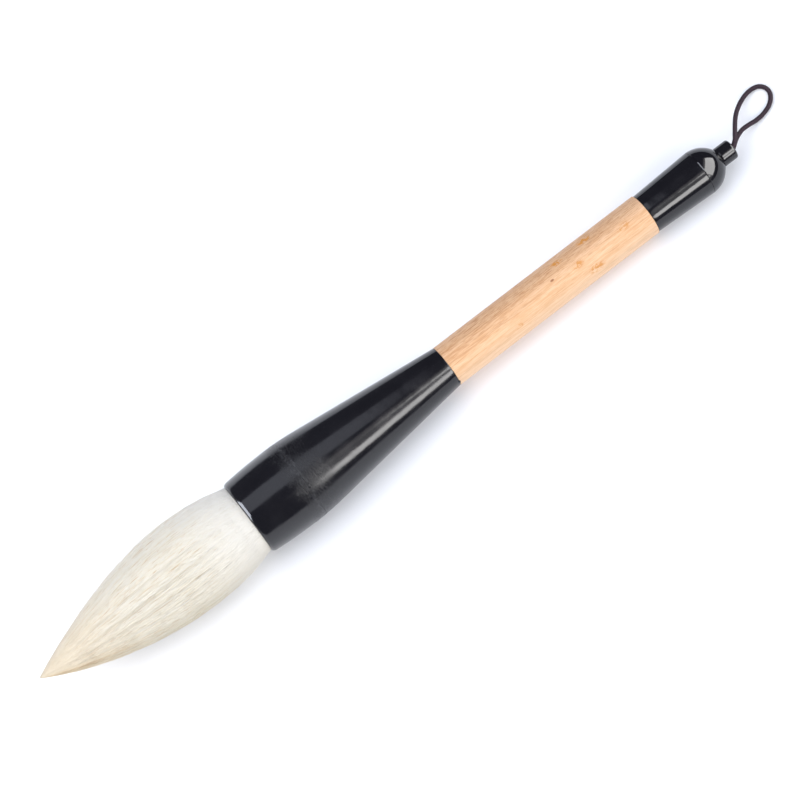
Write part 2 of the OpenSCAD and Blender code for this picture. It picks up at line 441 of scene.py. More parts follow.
@dataclass(frozen=True)
class BlackLacquer:
    """Polished black moulding with faint handling marks, and a scuffed band where it was joined."""

    name: str
    roughness: float
    scuffed_from: float | None = None
    scuffed_to: float = 0.0
    seam_at: float = 25.5 * MM
    ragged: float = 3.0 * MM
    deep_black: Colour = (0.0058, 0.0055, 0.0075, 1)
    smudged_black: Colour = (0.0090, 0.0085, 0.0108, 1)
    worn_black: Colour = (0.014, 0.014, 0.015, 1)
    dust_grey: Colour = (0.09, 0.09, 0.095, 1)
    bare_seam: Colour = (0.12, 0.12, 0.125, 1)
    relief: float = 0.03 * MM

    def shader(self, axis: BrushAxis) -> Shader:
        """Makes the finish's material.

        Args:
            axis: The brush's axis.

        Returns:
            The material.
        """
        s = Shader(self.name, IOR=1.5)
        place = s.brush_coordinates(axis)
        smudges = s.noise(place, 90.0, 4.0, 0.6)
        grain = s.noise(s.brush_coordinates(axis, (1.0, 1.0, 2.5)), 2600.0, 2.0)
        dust = s.noise(place, 5200.0, 1.0)
        specks = s.span(dust, 0.755, 0.79)
        rough = s.span(smudges, 0.35, 0.75, self.roughness - 0.03, self.roughness + 0.05)
        black = s.ramp(smudges, ((0.3, self.deep_black), (0.8, self.smudged_black)))
        height = s.noise(place, 260.0, 2.0)
        if self.scuffed_from is not None:
            worn, station = self.scuffs(s, axis)
            rough = s.plus(rough, s.times(worn, s.span(grain, 0.3, 0.7, 0.13, 0.27)))
            black = s.mix(s.times(worn, s.span(grain, 0.4, 0.75)), black, self.worn_black)
            at_seam = s.span(s.apart(station, self.seam_at), 0.3 * MM, 1.2 * MM, 1.0, 0.0)
            picked = s.times(at_seam, s.span(dust, 0.56, 0.66))
            black = s.mix(s.times(picked, 0.7), black, self.bare_seam)
            height = s.plus(height, s.times(s.times(grain, worn), 0.45))
        s.feed(s.principled.inputs["Roughness"], rough)
        s.feed(s.principled.inputs["Base Color"], s.mix(s.times(specks, 0.6), black, self.dust_grey))
        s.bump(height, self.relief)
        return s

    def scuffs(self, s: Shader, axis: BrushAxis) -> tuple[Socket, Socket]:
        """Lays out the scuffed band, with ragged ends and rings round the brush.

        Args:
            s: The material.
            axis: The brush's axis.

        Returns:
            How worn a place is, from 0 to 1, and its station with the raggedness in it.
        """
        place = s.brush_coordinates(axis)
        ragged = s.span(s.noise(place, 330.0, 4.0, 0.7), 0.2, 0.8, -self.ragged, self.ragged, False)
        station = s.plus(s.separate(place)[2], ragged)
        start = s.span(station, self.scuffed_from - 1.0 * MM, self.scuffed_from + 3.0 * MM)
        stop = s.span(station, self.scuffed_to - 9.0 * MM, self.scuffed_to + 6.0 * MM, 1.0, 0.0)
        rings = s.noise(s.brush_coordinates(axis, (1.0, 1.0, 9.0)), 420.0, 4.0, 0.7)
        return s.times(s.times(start, stop), s.span(rings, 0.35, 0.62, 0.35, 1.0)), station


@dataclass(frozen=True)
class Fleck:
    """A cluster of brown flecks in the bamboo."""

    station: float
    angle: float
    length: float
    strength: float = 0.8
    dark: bool = False


@dataclass(frozen=True)
class SatinBamboo:
    """Pale bamboo without its skin: fine straight fibres, brown bundles and clusters of orange spots, with
    painted shade on its +Y side and a painted sheen on its -Y side.
    """

    radius: float
    name: str = "satin_bamboo"
    roughness: float = 0.42
    relief: float = 0.06 * MM
    bands: Stops = ((0.30, (0.52, 0.262, 0.114, 1)), (0.44, (0.635, 0.352, 0.172, 1)),
                    (0.54, (0.685, 0.402, 0.214, 1)), (0.70, (0.74, 0.460, 0.265, 1)))
    fine_line: Colour = (0.80, 0.540, 0.335, 1)
    fibre_bundle: Colour = (0.44, 0.19, 0.065, 1)
    # Grey that is multiplied into the +Y side of the handle: painted shade.
    painted_shade_grey: Colour = (0.83, 0.84, 0.87, 1)
    # Paler colour that is mixed into the -Y side of the handle, where the lamps fall: painted sheen.
    painted_sheen_colour: Colour = (0.82, 0.66, 0.48, 1)
    dark_spot: Colour = (0.26, 0.09, 0.03, 1)
    orange_spot: Colour = (0.56, 0.22, 0.03, 1)
    fleck_shape: Triple = (1.6, 1.6, 0.8)
    flecks: tuple[Fleck, ...] = (
        Fleck(150.1 * MM, 190.0, 0.85 * MM, 0.9, True), Fleck(169.8 * MM, 151.0, 3.2 * MM, 0.9),
        Fleck(167.6 * MM, 235.0, 3.4 * MM), Fleck(162.0 * MM, 198.0, 2.6 * MM),
        Fleck(185.3 * MM, 191.0, 3.0 * MM, 0.6), Fleck(155.8 * MM, 158.0, 2.6 * MM, 0.9),
        Fleck(129.4 * MM, 233.0, 1.8 * MM, 0.6), Fleck(140.0 * MM, 20.0, 3.0 * MM),
        Fleck(118.0 * MM, 80.0, 2.4 * MM), Fleck(178.0 * MM, 320.0, 3.0 * MM),
    )

    def shader(self, axis: BrushAxis) -> Shader:
        """Makes the finish's material.

        Args:
            axis: The brush's axis.

        Returns:
            The material.
        """
        s = Shader(self.name, IOR=1.46, Specular_IOR_Level=0.25)
        place = s.brush_coordinates(axis)
        across = s.separate(place)[1]
        fine = s.noise(s.brush_coordinates(axis, (1.0, 1.0, 0.05)), 2500.0, 3.0, 0.7)
        dashes = s.noise(s.brush_coordinates(axis, (1.0, 1.0, 0.075)), 3600.0, 2.0, 0.6)
        bands = s.noise(s.brush_coordinates(axis, (1.0, 1.0, 0.03)), 420.0, 3.0, 0.6, 0.3)
        broken = s.span(s.noise(s.brush_coordinates(axis, (1.0, 1.0, 0.6)), 950.0, 2.0, 0.6), 0.44, 0.56)
        lined = s.mix(s.span(fine, 0.44, 0.58, 0.0, 0.5), s.ramp(bands, self.bands), self.fine_line)
        # The brown fibre bundles are real streaks. Their share rises toward the +Y side, and that rise is
        # painted shade there.
        bundles_and_painted_shade = s.span(across, -7.0 * MM, 5.0 * MM, 0.12, 0.80)
        brown = s.mix(s.times(s.span(dashes, 0.50, 0.66), bundles_and_painted_shade), lined, self.fibre_bundle)
        # Painted shade: the +Y side is darkened by multiplying in a grey.
        with_painted_shade = s.mix(s.span(across, -3.0 * MM, 4.0 * MM, 0.0, 0.85), brown, self.painted_shade_grey, "MULTIPLY")
        # Painted sheen: the -Y side, where the lamps fall, is paler.
        colour = s.mix(s.span(across, -9.0 * MM, -6.0 * MM, 0.30, 0.0), with_painted_shade, self.painted_sheen_colour)
        for fleck in self.flecks:
            near = self.nearness(s, place, fleck)
            if fleck.dark:
                colour = s.mix(near, colour, self.dark_spot)
            else:
                colour = s.mix(s.times(near, broken), colour, self.orange_spot)
        gloss = s.span(fine, 0.3, 0.7, self.roughness + 0.12, self.roughness - 0.04)
        s.feed(s.principled.inputs["Base Color"], colour)
        s.feed(s.principled.inputs["Roughness"], gloss)
        s.bump(s.plus(fine, s.times(dashes, -0.8)), self.relief)
        return s

    def nearness(self, s: Shader, place: Socket, fleck: Fleck) -> Socket:
        """Gives how strongly a cluster of flecks shows at each place.

        Args:
            s: The material.
            place: Places in the brush's own coordinates.
            fleck: The cluster.

        Returns:
            The socket of a value from 0 to the cluster's strength.
        """
        turn = math.radians(fleck.angle)
        centre = (self.radius * math.cos(turn), self.radius * math.sin(turn), fleck.station)
        offset = s.node("VectorMath", {0: place, 1: centre}, operation="SUBTRACT").outputs["Vector"]
        shaped = s.node("VectorMath", {0: offset, 1: self.fleck_shape}, operation="MULTIPLY").outputs[0]
        far = s.node("VectorMath", {0: shaped}, operation="LENGTH").outputs["Value"]
        return s.span(far, fleck.length * 0.45, fleck.length * 1.1, fleck.strength, 0.0)


@dataclass(frozen=True)
class GoatHair:
    """Bleached goat hair: nearly white at the root, cream along its length and tan at the point."""

    name: str
    strand_bump: bool = False
    translucency: float = 0.26
    relief: float = 0.2 * MM
    tones: Stops = ((0.0, (0.66, 0.49, 0.29, 1)), (0.16, (0.82, 0.70, 0.51, 1)),
                    (0.36, (0.910, 0.850, 0.705, 1)), (0.65, (0.935, 0.885, 0.765, 1)),
                    (1.0, (0.955, 0.925, 0.845, 1)))
    root_white: Colour = (0.955, 0.930, 0.868, 1)
    point_tan: Colour = (0.95, 0.85, 0.69, 1)

    def shader(self) -> Shader:
        """Makes the finish's material. The mesh gives each hair's tone and how far along it a point is.

        Returns:
            The material.
        """
        s = Shader(self.name, Roughness=0.5, IOR=1.5, Specular_IOR_Level=0.3, Sheen_Weight=0.3,
                   Sheen_Roughness=0.4)
        along, tone = s.attribute("along"), s.attribute("tone")
        white = s.mix(s.span(along, 0.0, 0.35, 0.65, 0.0), s.ramp(tone, self.tones), self.root_white)
        tipped = s.mix(s.span(along, 0.50, 1.02, 0.0, 0.75), white, self.point_tan, "MULTIPLY")
        s.feed(s.principled.inputs["Base Color"], tipped)
        s.let_light_through(self.translucency, tipped)
        if self.strand_bump:
            s.bump(tone, self.relief)
        return s


@dataclass(frozen=True)
class TwistedFibre:
    """Dyed or plain spun fibre, for the cord and the binding thread."""

    name: str
    dark: Colour
    light: Colour
    roughness: float = 0.75
    fibre_scale: float = 9000.0
    sheen: float = 0.03
    relief: float = 0.05 * MM

    def shader(self) -> Shader:
        """Makes the finish's material.

        Returns:
            The material.
        """
        s = Shader(self.name, Roughness=self.roughness, Specular_IOR_Level=0.3, Sheen_Weight=self.sheen)
        place = s.node("TexCoord").outputs["Object"]
        fibre = s.noise(place, self.fibre_scale, 2.0)
        mottle = s.noise(place, self.fibre_scale / 6.0, 2.0, 0.6)
        tone = s.times(s.plus(fibre, mottle), 0.5)
        s.feed(s.principled.inputs["Base Color"], s.ramp(tone, ((0.35, self.dark), (0.65, self.light))))
        s.bump(fibre, self.relief)
        return s


@dataclass(frozen=True)
class HiddenStuff:
    """Wood or resin inside the brush, with a simple grain along it."""

    name: str
    dark: Colour
    light: Colour
    roughness: float
    stretch: float
    relief: float = 0.04 * MM

    def shader(self, axis: BrushAxis) -> Shader:
        """Makes the finish's material.

        Args:
            axis: The brush's axis.

        Returns:
            The material.
        """
        s = Shader(self.name, Roughness=self.roughness)
        grain = s.noise(s.brush_coordinates(axis, (1.0, 1.0, self.stretch)), 700.0, 4.0, 0.6)
        s.feed(s.principled.inputs["Base Color"], s.ramp(grain, ((0.3, self.dark), (0.7, self.light))))
        s.bump(grain, self.relief)
        return s


# ---------------------------------------------------------------------------------------------------------
# Camera, light and table


@dataclass(frozen=True)
class Softbox:
    """A soft light.

    Place is where it stands and target is what it faces. Radiance is the brightness of its face, where 1 is
    a white sheet in full light.
    """

    name: str
    place: Triple
    target: Triple
    size: tuple[float, float]
    radiance: float
    tint: Triple
    seen: Seen = Seen.ALWAYS

    def switch_on(self) -> None:
        """Adds the light to the scene."""
        data = bpy.data.lights.new(self.name, "AREA")
        data.shape = "RECTANGLE"
        data.size, data.size_y = self.size
        data.energy = self.radiance * self.size[0] * self.size[1] * math.pi
        data.color = self.tint
        light = bpy.data.objects.new(self.name, data)
        facing = (Vector(self.target) - Vector(self.place)).to_track_quat("-Z", "Y")
        light.matrix_world = Matrix.Translation(self.place) @ facing.to_matrix().to_4x4()
        light.visible_camera = False
        light.visible_glossy = self.seen is not Seen.AS_LIGHT
        light.visible_diffuse = self.seen is not Seen.IN_REFLECTIONS
        light.visible_transmission = light.visible_diffuse
        bpy.context.scene.collection.objects.link(light)


WARM: Triple = (1.0, 0.987, 0.965)
PLAIN: Triple = (1.0, 0.99, 0.98)
COOL: Triple = (0.85, 0.89, 1.0)

SOFTBOXES: tuple[Softbox, ...] = (
    Softbox("side_light", (0.13, -0.72, 0.54), (-0.01, 0.0, 0.01), (1.0, 0.7), 2.36, WARM, Seen.AS_LIGHT),
    Softbox("overhead_panel", (-0.02, 0.09, 0.60), (-0.02, 0.06, 0.0), (0.46, 0.42), 1.25, COOL),
    Softbox("tip_reflection", (-0.60, 0.09, 0.34), (-0.07, 0.0, 0.02), (0.52, 0.78), 14.0, COOL,
            Seen.IN_REFLECTIONS),
    Softbox("tip_light", (-0.57, 0.10, 0.60), (-0.07, 0.0, 0.02), (0.60, 0.60), 2.6, PLAIN, Seen.AS_LIGHT),
    Softbox("far_side_light", (-0.14, 0.30, 0.22), (-0.12, 0.0, 0.015), (0.30, 0.20), 1.0, WARM,
            Seen.AS_LIGHT),
    Softbox("ceiling", (0.0, 0.1, 1.3), (0.0, 0.0, 0.0), (1.8, 1.8), 0.80, COOL, Seen.AS_LIGHT),
)


@dataclass(frozen=True)
class Studio:
    """A camera above the brush, a window of three panes, six softboxes and a white table."""

    axis: BrushAxis
    aim_station: float = 0.0753
    aim_across: float = 0.0008
    distance: float = 1.30
    view_width: float = 0.312
    lean_across: float = 21.0
    lean_to_tip: float = 3.4
    brush_angle: float = 37.43
    sensor: float = 36.0
    room_tint: Colour = (0.76, 0.83, 1.0, 1.0)
    room_light: float = 0.52
    room_reflected: float = 0.10
    table_size: float = 4.0

    def camera(self) -> bpy.types.Object:
        """Makes the scene's camera.

        Returns:
            The camera, which looks at the brush's middle with its axis turned up to the right.
        """
        back = Vector((-math.tan(math.radians(self.lean_to_tip)), -math.tan(math.radians(self.lean_across)),
                       1.0)).normalized()
        along = self.axis.direction - self.axis.direction.dot(back) * back
        along.normalize()
        left = back.cross(along)
        turn = math.radians(self.brush_angle)
        right = math.cos(turn) * along - math.sin(turn) * left
        up = math.sin(turn) * along + math.cos(turn) * left
        data = bpy.data.cameras.new("camera")
        data.sensor_width = self.sensor
        data.lens = self.sensor * self.distance / self.view_width
        camera = bpy.data.objects.new("camera", data)
        aim = self.axis.at(self.aim_station) + Vector((0.0, self.aim_across, 0.0))
        place = aim + self.distance * back
        camera.matrix_world = Matrix.Translation(place) @ Matrix((right, up, back)).transposed().to_4x4()
        bpy.context.scene.collection.objects.link(camera)
        bpy.context.scene.camera = camera
        return camera

    def window(self) -> list[Softbox]:
        """Lays out the window that shows in the lacquer.

        Returns:
            Its main pane, the wing beside it and the faint rim around both.
        """
        middle, across = Vector((0.472, -0.295, 0.396)), Vector((0.643, 0.766, 0.0))
        inward = Vector((-0.587, 0.492, -0.643))
        upward = across.cross(inward).normalized()
        panes = (("window_main", 0.26, -0.015, (0.92, 0.47), 8.2),
                 ("window_wing", -0.38, -0.0525, (0.28, 0.205), 8.8),
                 ("window_rim", 0.12, 0.02, (1.24, 0.60), 0.9))
        boxes = []
        for name, right, above, size, radiance in panes:
            centre = middle + right * across + above * upward
            boxes.append(Softbox(name, tuple(centre), tuple(centre + inward), size, radiance, PLAIN,
                                 Seen.IN_REFLECTIONS))
        return boxes

    def lights(self) -> None:
        """Switches on the lights and the room's own faint light, which shows less in reflections."""
        for box in (*self.window(), *SOFTBOXES):
            box.switch_on()
        world = bpy.data.worlds.new("room")
        world.use_nodes = True
        bpy.context.scene.world = world
        tree = world.node_tree
        background = tree.nodes["Background"]
        background.inputs["Color"].default_value = self.room_tint
        path = tree.nodes.new("ShaderNodeLightPath")
        level = tree.nodes.new("ShaderNodeMapRange")
        level.inputs["To Min"].default_value = self.room_light
        level.inputs["To Max"].default_value = self.room_reflected
        tree.links.new(path.outputs["Is Glossy Ray"], level.inputs["Value"])
        tree.links.new(level.outputs["Result"], background.inputs["Strength"])
        bpy.context.scene.view_settings.view_transform = "Standard"

    def table(self) -> bpy.types.Object:
        """Adds the white table that the brush lies on.

        Returns:
            The table.
        """
        bm = bmesh.new()
        bmesh.ops.create_grid(bm, x_segments=1, y_segments=1, size=self.table_size)
        mesh = bpy.data.meshes.new("table")
        bm.to_mesh(mesh)
        bm.free()
        table = add_object("table", mesh)
        s = Shader("white_table", Roughness=0.9, Specular_IOR_Level=0.1)
        paper = s.noise(s.node("TexCoord").outputs["Object"], 40.0, 3.0)
        s.feed(s.principled.inputs["Base Color"],
               s.ramp(paper, ((0.2, (0.93, 0.93, 0.93, 1)), (0.8, (0.95, 0.95, 0.95, 1)))))
        s.dress(table)
        return table


# ---------------------------------------------------------------------------------------------------------
# Hanging loop


# The loop's line, in millimetres from the knob's mouth: toward the tail, across, and up from the table.
LOOP_LINE: tuple[Triple, ...] = (
    (0.3, 0, 10), (2.3, 1.2, 10), (4.8, 4.2, 9.4), (7.4, 7.6, 8.2), (10, 10.6, 6.7),
    (12.9, 13.2, 5.1), (16.2, 15.4, 3.4), (19.7, 17, 2), (23, 17.6, 1.2), (26, 16.9, 0.95),
    (27.7, 14.8, 0.95), (27.9, 12.2, 0.95), (26.5, 9.6, 0.95), (23.7, 7.5, 0.95),
    (20.1, 6.3, 1.1), (16.2, 5.7, 1.9), (12.2, 5.5, 3.6), (8.6, 4.9, 5.2), (5.4, 3.5, 6.6),
    (2.5, 1.5, 7.9), (0.3, 0, 8.1),
)


@dataclass(frozen=True)
class HangingLoop:
    """A braided cord that leaves the knob as two legs and lies on the table as an eye."""

    axis: BrushAxis
    diameter: float = 1.75 * MM
    fullness: float = 0.15 * MM
    carriers: int = 5
    lay_length: float = 4.7 * MM
    carrier_radius: float = 0.29 * MM
    weave_depth: float = 0.16 * MM
    inside_knob: float = 1.2 * MM
    yarn_step: float = 0.16 * MM
    path_steps: int = 14
    bend_length: float = 3.5 * MM
    dark_yarn: tuple[Colour, Colour] = ((0.006, 0.002, 0.005, 1), (0.030, 0.009, 0.022, 1))
    light_yarn: tuple[Colour, Colour] = ((0.28, 0.085, 0.150, 1), (0.72, 0.29, 0.40, 1))

    def route(self) -> list[Vector]:
        """Works out the cord's route.

        Returns:
            Its points, from inside the knob round the eye and back into the knob.
        """
        mouth = Vector((self.axis.knob_mouth.x, 0.0, 0.0))
        points = [mouth + MM * Vector(p) for p in LOOP_LINE]
        inward = self.inside_knob * self.axis.direction
        return [points[0] - inward, *points, points[-1] - inward]

    @staticmethod
    def carried_frame(path: np.ndarray) -> tuple[np.ndarray, np.ndarray]:
        """Carries two directions across the cord along it without a twist.

        Args:
            path: Points along the cord's centre.

        Returns:
            Both directions at each point.
        """
        forward = np.gradient(path, axis=0)
        forward /= np.linalg.norm(forward, axis=1)[:, None]
        side = np.zeros_like(path)
        side[0] = np.cross(forward[0], (0.0, 0.0, 1.0))
        for i in range(1, len(path)):
            side[i] = side[i - 1] - np.dot(side[i - 1], forward[i]) * forward[i]
            side[i] /= np.linalg.norm(side[i])
        return side, np.cross(side, forward)

    def carrier(self, path: np.ndarray, side: np.ndarray, up: np.ndarray, run: np.ndarray, phase: float,
                hand: int) -> np.ndarray:
        """Works out the line of one of the braid's yarns.

        Args:
            path: Points along the cord's centre.
            side: A direction across the cord at each point.
            up: The other direction across the cord at each point.
            run: Distance along the cord at each point.
            phase: The yarn's place around the cord.
            hand: 1 or -1, the way that it winds.

        Returns:
            Points along the yarn's centre.
        """
        turn = math.tau * run / self.lay_length
        angle = phase + hand * turn
        middle = self.diameter / 2 + self.fullness - self.carrier_radius - self.weave_depth / 2
        radius = middle + hand * self.weave_depth / 2 * np.cos(self.carriers * turn)
        return path + (radius * np.cos(angle))[:, None] * side + (radius * np.sin(angle))[:, None] * up

    def build(self) -> bpy.types.Object:
        """Returns:
            The cord's object.
        """
        centre = smooth_path(self.route(), self.path_steps)
        path = np.array([tuple(p) for p in centre])
        side, up = self.carried_frame(path)
        run = np.concatenate([[0.0], np.cumsum(np.linalg.norm(np.diff(path, axis=0), axis=1))])
        fine = np.linspace(0.0, run[-1], int(run[-1] / self.yarn_step))
        even = [np.stack([np.interp(fine, run, part[:, i]) for i in range(3)], axis=1)
                for part in (path, side, up)]

        yarns = self.curve("hanging_loop_yarns", self.carrier_radius, 1)
        for hand in (1, -1):
            for i in range(self.carriers):
                phase = math.tau * (i + (0.5 if hand < 0 else 0.0)) / self.carriers
                self.add_line(yarns, self.carrier(*even, fine, phase, hand), 0 if hand > 0 else 1)
        core = self.curve("hanging_loop_core", self.diameter / 2 - 2 * self.carrier_radius, 2)
        self.add_line(core, even[0][::3], 0)
        cord = self.as_mesh("hanging_loop_cord", (yarns, core))
        TwistedFibre("cord_dark_yarn", *self.dark_yarn).shader().dress(cord)
        cord.data.materials.append(TwistedFibre("cord_light_yarn", *self.light_yarn).shader().material)

        tuple(self.axis.at(self.axis.knob_end - self.inside_knob))
        tuple(self.axis.at(self.axis.knob_end + self.bend_length))
        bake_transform(cord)
        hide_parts("hanging_loop")
        return cord

    @staticmethod
    def curve(name: str, radius: float, resolution: int) -> bpy.types.Curve:
        """Makes a curve without lines, for round yarns with closed ends.

        Args:
            name: Name of the curve.
            radius: Radius of its yarns.
            resolution: How finely they are rounded.

        Returns:
            The curve.
        """
        curve = bpy.data.curves.new(name, "CURVE")
        curve.dimensions = "3D"
        curve.bevel_depth = radius
        curve.bevel_resolution = resolution
        curve.use_fill_caps = True
        return curve

    @staticmethod
    def add_line(curve: bpy.types.Curve, points: np.ndarray, material: int) -> None:
        """Adds a line to a curve.

        Args:
            curve: The curve.
            points: Points along the line.
            material: Number of the line's material.
        """
        spline = curve.splines.new("POLY")
        spline.points.add(len(points) - 1)
        spline.points.foreach_set("co", np.hstack([points, np.ones((len(points), 1))]).ravel())
        spline.material_index = material
        spline.use_smooth = True

    @staticmethod
    def as_mesh(name: str, curves: Sequence[bpy.types.Curve]) -> bpy.types.Object:
        """Makes one mesh of several curves.

        Args:
            name: Name of the new object.
            curves: The curves, which are used up.

        Returns:
            The object, with smooth faces that point outward.
        """
        bm = bmesh.new()
        for curve in curves:
            source = bpy.data.objects.new(curve.name, curve)
            curve.materials.append(None)
            curve.materials.append(None)
            bpy.context.scene.collection.objects.link(source)
            graph = bpy.context.evaluated_depsgraph_get()
            mesh = bpy.data.meshes.new_from_object(source.evaluated_get(graph))
            bm.from_mesh(mesh)
            bpy.data.objects.remove(source)
            bpy.data.meshes.remove(mesh)
            bpy.data.curves.remove(curve)
        bmesh.ops.remove_doubles(bm, verts=bm.verts, dist=1e-8)
        bmesh.ops.recalc_face_normals(bm, faces=bm.faces)
        mesh = bpy.data.meshes.new(name)
        bm.to_mesh(mesh)
        bm.free()
        shade(mesh, 60.0)
        return add_object(name, mesh)


# ---------------------------------------------------------------------------------------------------------
# Hair


@dataclass(frozen=True)
class TuftOutline:
    """Radius and lean of the tuft along its length."""

    length: float = 100.7 * MM
    root_r: float = 14.4 * MM
    belly_r: float = 18.85 * MM
    belly_at: float = 28.0 * MM
    tip_r: float = 0.2 * MM
    lean: float = 0.9 * MM

    def radius(self, reach: np.ndarray) -> np.ndarray:
        """Works out the tuft's radius.

        Args:
            reach: Distances from the mouth toward the tip.

        Returns:
            The radius at each distance.
        """
        swell = self.belly_r - self.root_r
        span = self.length - self.belly_at
        root = [(0.0, self.root_r), (0.18 * self.belly_at, self.root_r + 0.6 * swell),
                (0.57 * self.belly_at, self.belly_r), (self.belly_at, self.belly_r)]
        tip = [(self.belly_at, self.belly_r), (self.belly_at + 0.36 * span, self.belly_r),
               (self.belly_at + 0.77 * span, 0.5 * self.belly_r), (self.length, self.tip_r)]
        t = np.linspace(0.0, 1.0, 60)[:, None]
        weights = np.hstack([(1 - t) ** 3, 3 * (1 - t) ** 2 * t, 3 * (1 - t) * t ** 2, t ** 3])
        line = np.vstack([weights @ np.array(root), (weights @ np.array(tip))[1:]])
        return np.interp(reach, line[:, 0], line[:, 1])

    def drift(self, reach: np.ndarray) -> np.ndarray:
        """Works out how far the tuft's middle lies to the -Y side.

        Args:
            reach: Distances from the mouth toward the tip.

        Returns:
            The drift at each distance, which is none at the mouth and at the tip.
        """
        t = np.clip(reach / self.length, 0.0, 1.0)
        return self.lean * np.sin(math.pi * t ** 2.2) * t


@dataclass(frozen=True)
class HairLayer:
    """One piece of separate hairs.

    Low and high are the hairs' places as shares of the tuft's radius. Shortest is the shortest hair's share
    of the tuft's length. Lift is how far a hair may stand off the others. Pull is how closely the hairs
    gather in their locks, from 0 to 1. Seed is added to the tuft's own, for the layer's random draws.
    """

    name: str
    seed: int
    low: float
    high: float
    shortest: float
    count: int = 2850
    lift: float = 0.12 * MM
    pull: float = 0.45


HAIR_LAYERS: tuple[HairLayer, ...] = (
    HairLayer("under_hair_1", 1, 0.982, 0.997, 0.55),
    HairLayer("under_hair_2", 2, 0.982, 0.997, 0.55),
    HairLayer("cover_hair_1", 3, 0.985, 1.0, 0.62),
    HairLayer("cover_hair_2", 4, 0.985, 1.0, 0.62),
    HairLayer("cover_hair_3", 5, 0.985, 1.0, 0.70),
    HairLayer("cover_hair_4", 6, 0.985, 1.0, 0.66),
    HairLayer("stray_hair", 9, 0.99, 1.0, 0.5, 90, 1.3 * MM, 0.1),
)
HAIR_RINGS = (0.05, 0.11, 0.19, 0.30, 0.43, 0.58, 0.74, 0.88, 0.965, 0.992)


@dataclass(frozen=True)
class Strands:
    """What is drawn for the hairs of a layer, in columns with one row for each hair.

    Lock is the lock that a hair belongs to, angle its place around the tuft, share its place as a share of
    the tuft's radius, and reach how far its point lies from the mouth. Wave, wander and stand say how it
    bends away from its neighbours. Width is its radius. Tone is its colour, and a streak darkens a stretch
    of it.
    """

    lock: np.ndarray
    angle: np.ndarray
    share: np.ndarray
    reach: np.ndarray
    wave: np.ndarray
    wander: np.ndarray
    stand: np.ndarray
    width: np.ndarray
    tone: np.ndarray
    streak: np.ndarray
    streak_at: np.ndarray
    streak_half: np.ndarray


